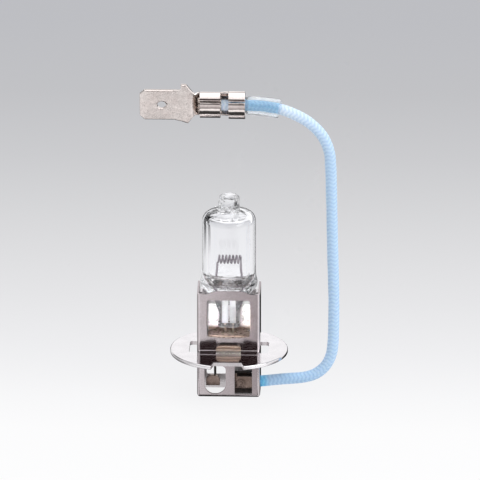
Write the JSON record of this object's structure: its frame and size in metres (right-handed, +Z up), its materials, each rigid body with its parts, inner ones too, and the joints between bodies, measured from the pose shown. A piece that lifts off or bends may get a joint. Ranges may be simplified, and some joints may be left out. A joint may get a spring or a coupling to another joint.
{
  "type": "headlight bulb",
  "caption": "Halogen headlight bulb in a sheet-metal holder with a round notched flange, a braided lead and a flat spade terminal.",
  "frame": {"origin": "on the lamp's axis at the foot of the sheet-metal holder", "axes": "+Z up along the lamp's axis from the holder to the glass tip, -Y the front with the flange's notch, +X the side where the lead wire leaves the holder"},
  "size_m": [0.0373, 0.0216, 0.0609],
  "materials": {
    "nickel_plate": "bright nickel-plated steel sheet",
    "quartz_glass": "clear quartz glass",
    "tungsten": "dull grey drawn tungsten wire",
    "molybdenum": "thin foil, satin",
    "oxidised_wire": "dark oxidised wire",
    "strap_metal": "heat-tinted nickel strip",
    "insulator": "dark moulded insulator",
    "glass_braid": "pale blue braided glass fibre",
    "tinned_copper": "tinned copper strands",
    "clear_sleeve": "clear flexible sleeve",
    "tinned_brass": "tin-plated brass strip"
  },
  "bodies": {
    "root": {"flange_disc": "nickel_plate", "cage_front": "nickel_plate", "cage_rear": "nickel_plate", "pinch_bracket": "nickel_plate", "glass_envelope": "quartz_glass", "filament_coil": "tungsten", "lead_in_left": "tungsten", "lead_in_right": "tungsten", "pinch_foil_left": "molybdenum", "pinch_foil_right": "molybdenum", "ground_lead": "oxidised_wire", "feed_lead": "oxidised_wire", "ground_strap": "strap_metal", "feed_plate": "strap_metal", "feed_insulator": "insulator", "lead_wire": "glass_braid", "conductor_core": "tinned_copper", "conductor_tip": "tinned_copper", "clear_sleeve": "clear_sleeve", "spade_terminal": "tinned_brass"}
  },
  "joints": []
}
